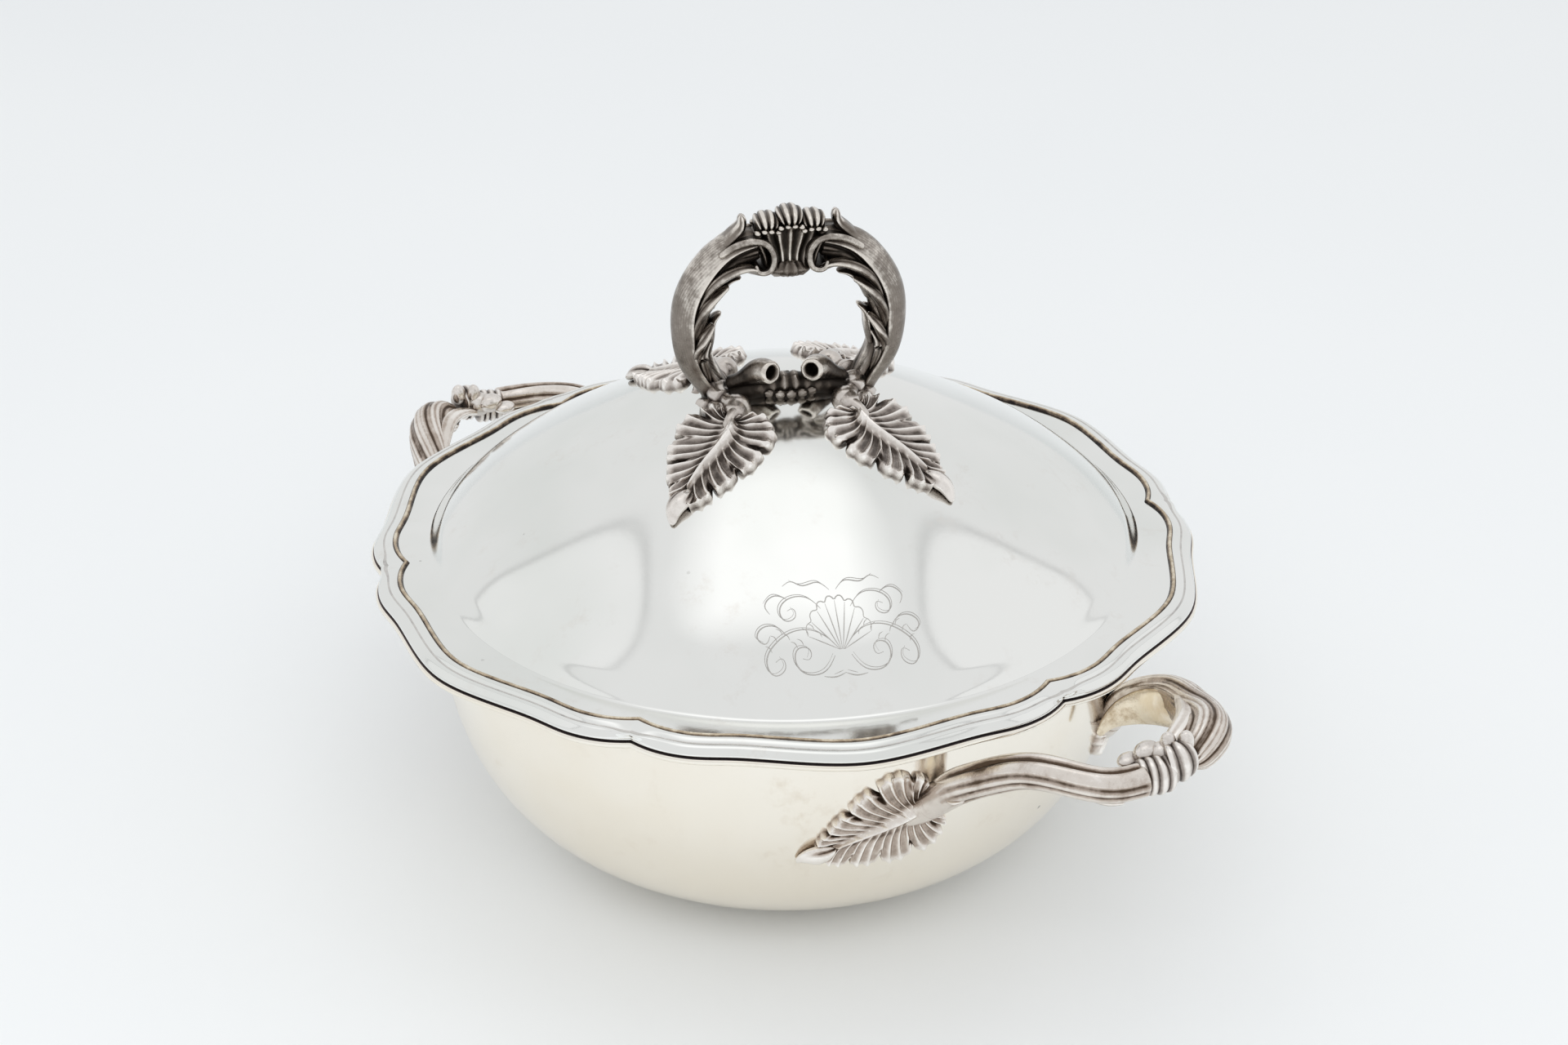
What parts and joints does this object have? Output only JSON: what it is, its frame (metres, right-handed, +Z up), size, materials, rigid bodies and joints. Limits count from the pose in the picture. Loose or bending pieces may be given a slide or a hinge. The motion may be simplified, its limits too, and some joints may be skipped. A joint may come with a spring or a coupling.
{
  "type": "soup tureen",
  "caption": "Round covered soup tureen with a lobed rim, two cast leafy side handles and a lift-off domed cover with a ring handle.",
  "frame": {"origin": "centre of the flat base, on the surface the tureen stands on", "axes": "+Z up through the finial, +X along the line of the two side handles"},
  "size_m": [0.3432, 0.2724, 0.2186],
  "materials": {
    "bowl_silver": "polished silver, softly worn",
    "cover_silver": "mirror polished silver with faint stains",
    "cast_silver": "chased silver with dark oxidised recesses",
    "fixing_brass": "plain turned"
  },
  "bodies": {
    "bowl_body": {"bowl": "bowl_silver", "bowl_rim": "bowl_silver", "handle_left_acanthus_arm": "cast_silver", "handle_left_knot": "cast_silver", "handle_left_leaf_front": "cast_silver", "handle_left_leaf_rear": "cast_silver", "handle_left_slender_arm": "cast_silver", "handle_right_acanthus_arm": "cast_silver", "handle_right_knot": "cast_silver", "handle_right_leaf_front": "cast_silver", "handle_right_leaf_rear": "cast_silver", "handle_right_slender_arm": "cast_silver"},
    "cover_body": {"cover_bezel": "cover_silver", "cover_dome": "cover_silver", "cover_leaf_left_back": "cast_silver", "cover_leaf_left_front": "cast_silver", "cover_leaf_right_back": "cast_silver", "cover_leaf_right_front": "cast_silver", "cover_rim": "cover_silver", "finial_arm_left": "cast_silver", "finial_arm_right": "cast_silver", "finial_fan": "cast_silver", "finial_nut_left": "fixing_brass", "finial_nut_right": "fixing_brass", "finial_shell": "cast_silver", "finial_stud_left": "fixing_brass", "finial_stud_right": "fixing_brass", "finial_tendril_left": "cast_silver", "finial_tendril_right": "cast_silver", "finial_washer_left": "fixing_brass", "finial_washer_right": "fixing_brass"}
  },
  "joints": [
    {"name": "cover_lift", "type": "slide", "parent": "bowl_body", "child": "cover_body", "axis": [0, 0, 1], "range_m": [0, 0.16]}
  ]
}
